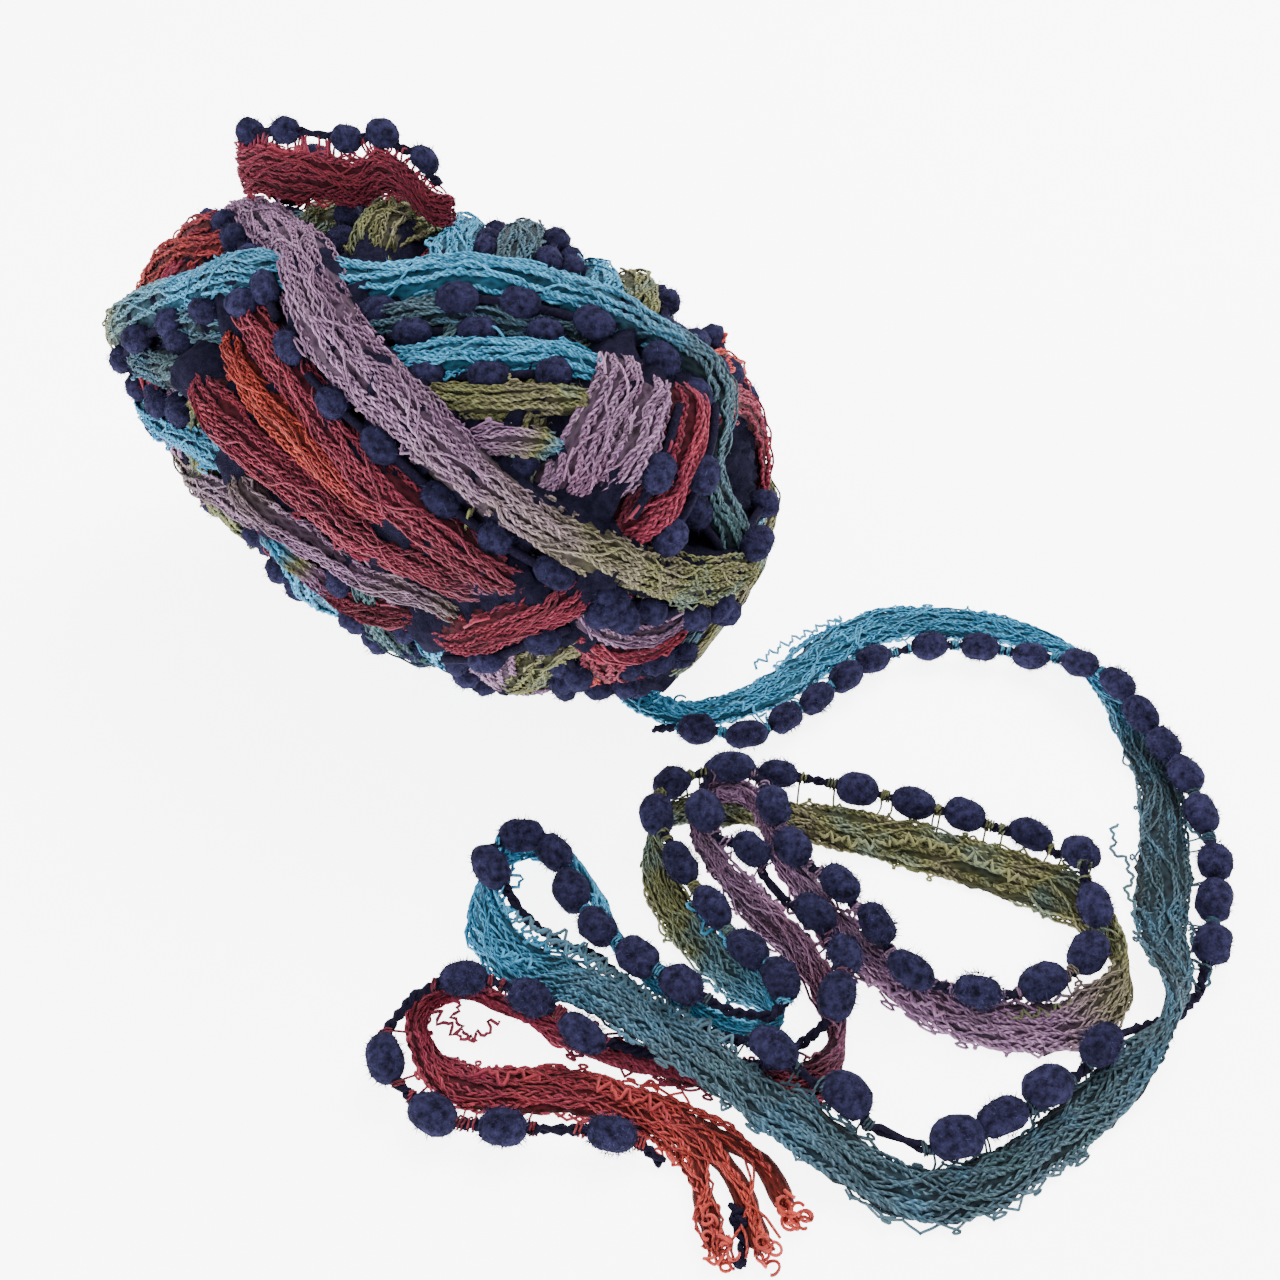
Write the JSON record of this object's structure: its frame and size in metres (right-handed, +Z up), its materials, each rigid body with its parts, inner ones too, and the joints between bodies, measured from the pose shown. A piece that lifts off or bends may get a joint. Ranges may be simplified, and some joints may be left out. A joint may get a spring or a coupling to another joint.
{
  "type": "pom pom yarn",
  "caption": "Wound ball of variegated mesh ribbon yarn with navy pompoms along one edge, a loop standing off its top and its long loose end lying in loops in front of it.",
  "frame": {"origin": "on the table, under the middle of the whole outline", "axes": "+Z up from the table, -Y towards the loose end's frayed tip, +X along the table to the loose end's side"},
  "size_m": [0.258, 0.2361, 0.1177],
  "materials": {
    "mesh_ribbon": "soft brushed mesh knit, dyed in long runs of crimson, lilac, olive, light blue and dark teal",
    "pompom_string": "twisted navy cord with felted navy pompoms"
  },
  "bodies": {
    "root": {"wound_ball": "mesh_ribbon", "standing_loop": "mesh_ribbon", "standing_loop_pompoms": "pompom_string", "tail_ribbon": "mesh_ribbon", "tail_pompoms": "pompom_string"}
  },
  "joints": []
}
